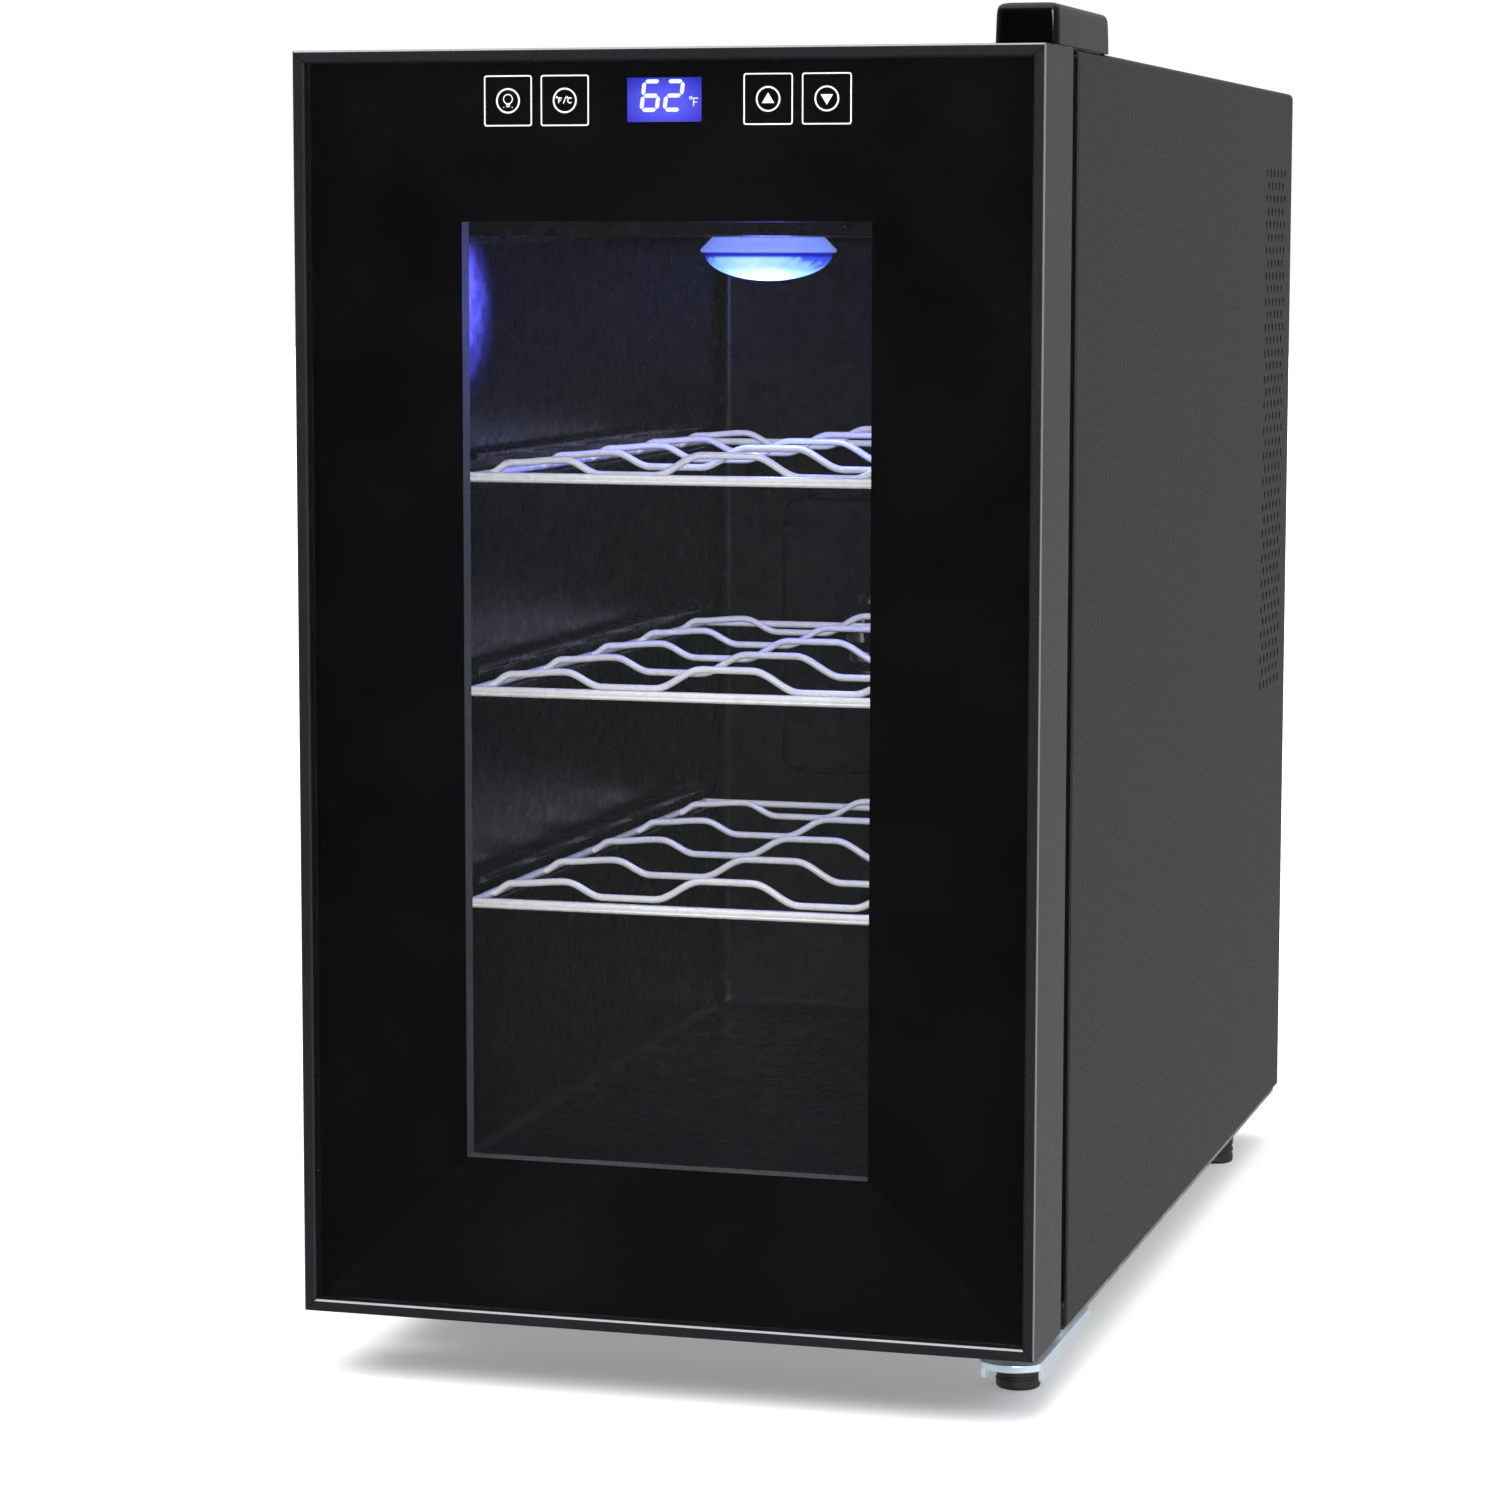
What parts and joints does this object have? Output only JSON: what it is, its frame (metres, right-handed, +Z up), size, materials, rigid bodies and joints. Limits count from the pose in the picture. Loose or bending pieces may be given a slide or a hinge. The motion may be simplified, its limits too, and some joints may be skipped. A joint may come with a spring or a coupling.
{
  "type": "wine cooler",
  "caption": "Slim free-standing thermoelectric wine cooler with a hinged glass door, sliding wave-wire shelves, a touch control strip, a ceiling lamp and a rear fan compartment.",
  "frame": {"origin": "on the floor, under the middle of the case in width and depth", "axes": "+Z up, +Y from the door to the back, +X to the hinge side as seen from the front"},
  "size_m": [0.259, 0.51, 0.47],
  "materials": {
    "case_paint": "satin black powder paint",
    "door_frame": "satin black anodised",
    "galvanised_sheet": "galvanised",
    "zinc_plate": "blue zinc plated",
    "pin_steel": "turned",
    "screw_steel": "plated",
    "gloss_cover": "high gloss",
    "black_plastic": "fine texture",
    "liner_plastic": "vacuum-formed gloss",
    "foot_rubber": "moulded",
    "gasket_rubber": "matt bellows seal",
    "foam": "blown foam",
    "bare_aluminium": "extruded",
    "spacer_aluminium": "dark satin",
    "white_ceramic": "unglazed",
    "circuit_board": "solder mask",
    "lamp_lens": "lit diffuser",
    "lcd_screen": "lit display",
    "tinted_glass": "smoked",
    "chrome_wire": "bright plated"
  },
  "bodies": {
    "case": {"cabinet_wrapper": "case_paint", "base_pan": "galvanised_sheet", "rear_panel": "case_paint", "inner_liner": "liner_plastic", "foam_insulation": "foam", "mounting_plate": "galvanised_sheet", "power_inlet": "black_plastic", "foot_front_right": "foot_rubber", "foot_front_left": "foot_rubber", "foot_rear_right": "foot_rubber", "foot_rear_left": "foot_rubber", "lower_hinge_bracket": "zinc_plate", "lower_hinge_pin": "pin_steel", "top_hinge_bracket": "zinc_plate", "top_hinge_pin": "pin_steel", "top_hinge_cover": "gloss_cover", "lower_hinge_screw_1": "screw_steel", "lower_hinge_screw_2": "screw_steel", "top_hinge_screw_1": "screw_steel", "top_hinge_screw_2": "screw_steel", "cold_fan_cover": "liner_plastic", "cold_fan_frame": "black_plastic", "cold_heat_sink": "bare_aluminium", "cold_block": "bare_aluminium", "peltier_module": "white_ceramic", "hot_heat_sink": "bare_aluminium", "hot_fan_frame": "black_plastic", "power_board": "circuit_board", "lamp_base": "black_plastic", "led_board": "circuit_board", "lamp_lens": "lamp_lens"},
    "door": {"door_rail_top": "door_frame", "door_rail_bottom": "door_frame", "door_rail_right": "door_frame", "door_rail_left": "door_frame", "outer_glass": "tinted_glass", "window_bezel": "black_plastic", "spacer_frame": "spacer_aluminium", "inner_glass": "tinted_glass", "door_insulation": "foam", "door_liner": "liner_plastic", "door_gasket": "gasket_rubber", "control_board": "circuit_board", "lcd_module": "lcd_screen", "hinge_bush_bottom": "black_plastic", "hinge_bush_top": "black_plastic"},
    "shelf_1": {"shelf_1_rack": "chrome_wire", "shelf_1_front_bar": "chrome_wire"},
    "shelf_2": {"shelf_2_rack": "chrome_wire", "shelf_2_front_bar": "chrome_wire"},
    "shelf_3": {"shelf_3_rack": "chrome_wire", "shelf_3_front_bar": "chrome_wire"},
    "cold_rotor": {"cold_fan_rotor": "black_plastic"},
    "hot_rotor": {"hot_fan_rotor": "black_plastic"}
  },
  "joints": [
    {"name": "door_hinge", "type": "hinge", "parent": "case", "child": "door", "pos_m": [0.118, -0.225, 0.24], "axis": [0, 0, 1], "range_deg": [0, 115]},
    {"name": "shelf_1_slide", "type": "slide", "parent": "case", "child": "shelf_1", "axis": [0, -1, 0], "range_m": [0, 0.073]},
    {"name": "shelf_2_slide", "type": "slide", "parent": "case", "child": "shelf_2", "axis": [0, -1, 0], "range_m": [0, 0.073]},
    {"name": "shelf_3_slide", "type": "slide", "parent": "case", "child": "shelf_3", "axis": [0, -1, 0], "range_m": [0, 0.073]},
    {"name": "cold_fan_spin", "type": "hinge", "parent": "case", "child": "cold_rotor", "pos_m": [0, 0.115, 0.23], "axis": [0, 1, 0], "continuous": true},
    {"name": "hot_fan_spin", "type": "hinge", "parent": "case", "child": "hot_rotor", "pos_m": [0, 0.212, 0.23], "axis": [0, 1, 0], "continuous": true}
  ],
  "couplings": [
    {"joint": "shelf_1_slide", "follows": "door_hinge", "m_per_rad": 0.036},
    {"joint": "shelf_2_slide", "follows": "door_hinge", "m_per_rad": 0.036},
    {"joint": "shelf_3_slide", "follows": "door_hinge", "m_per_rad": 0.036}
  ]
}
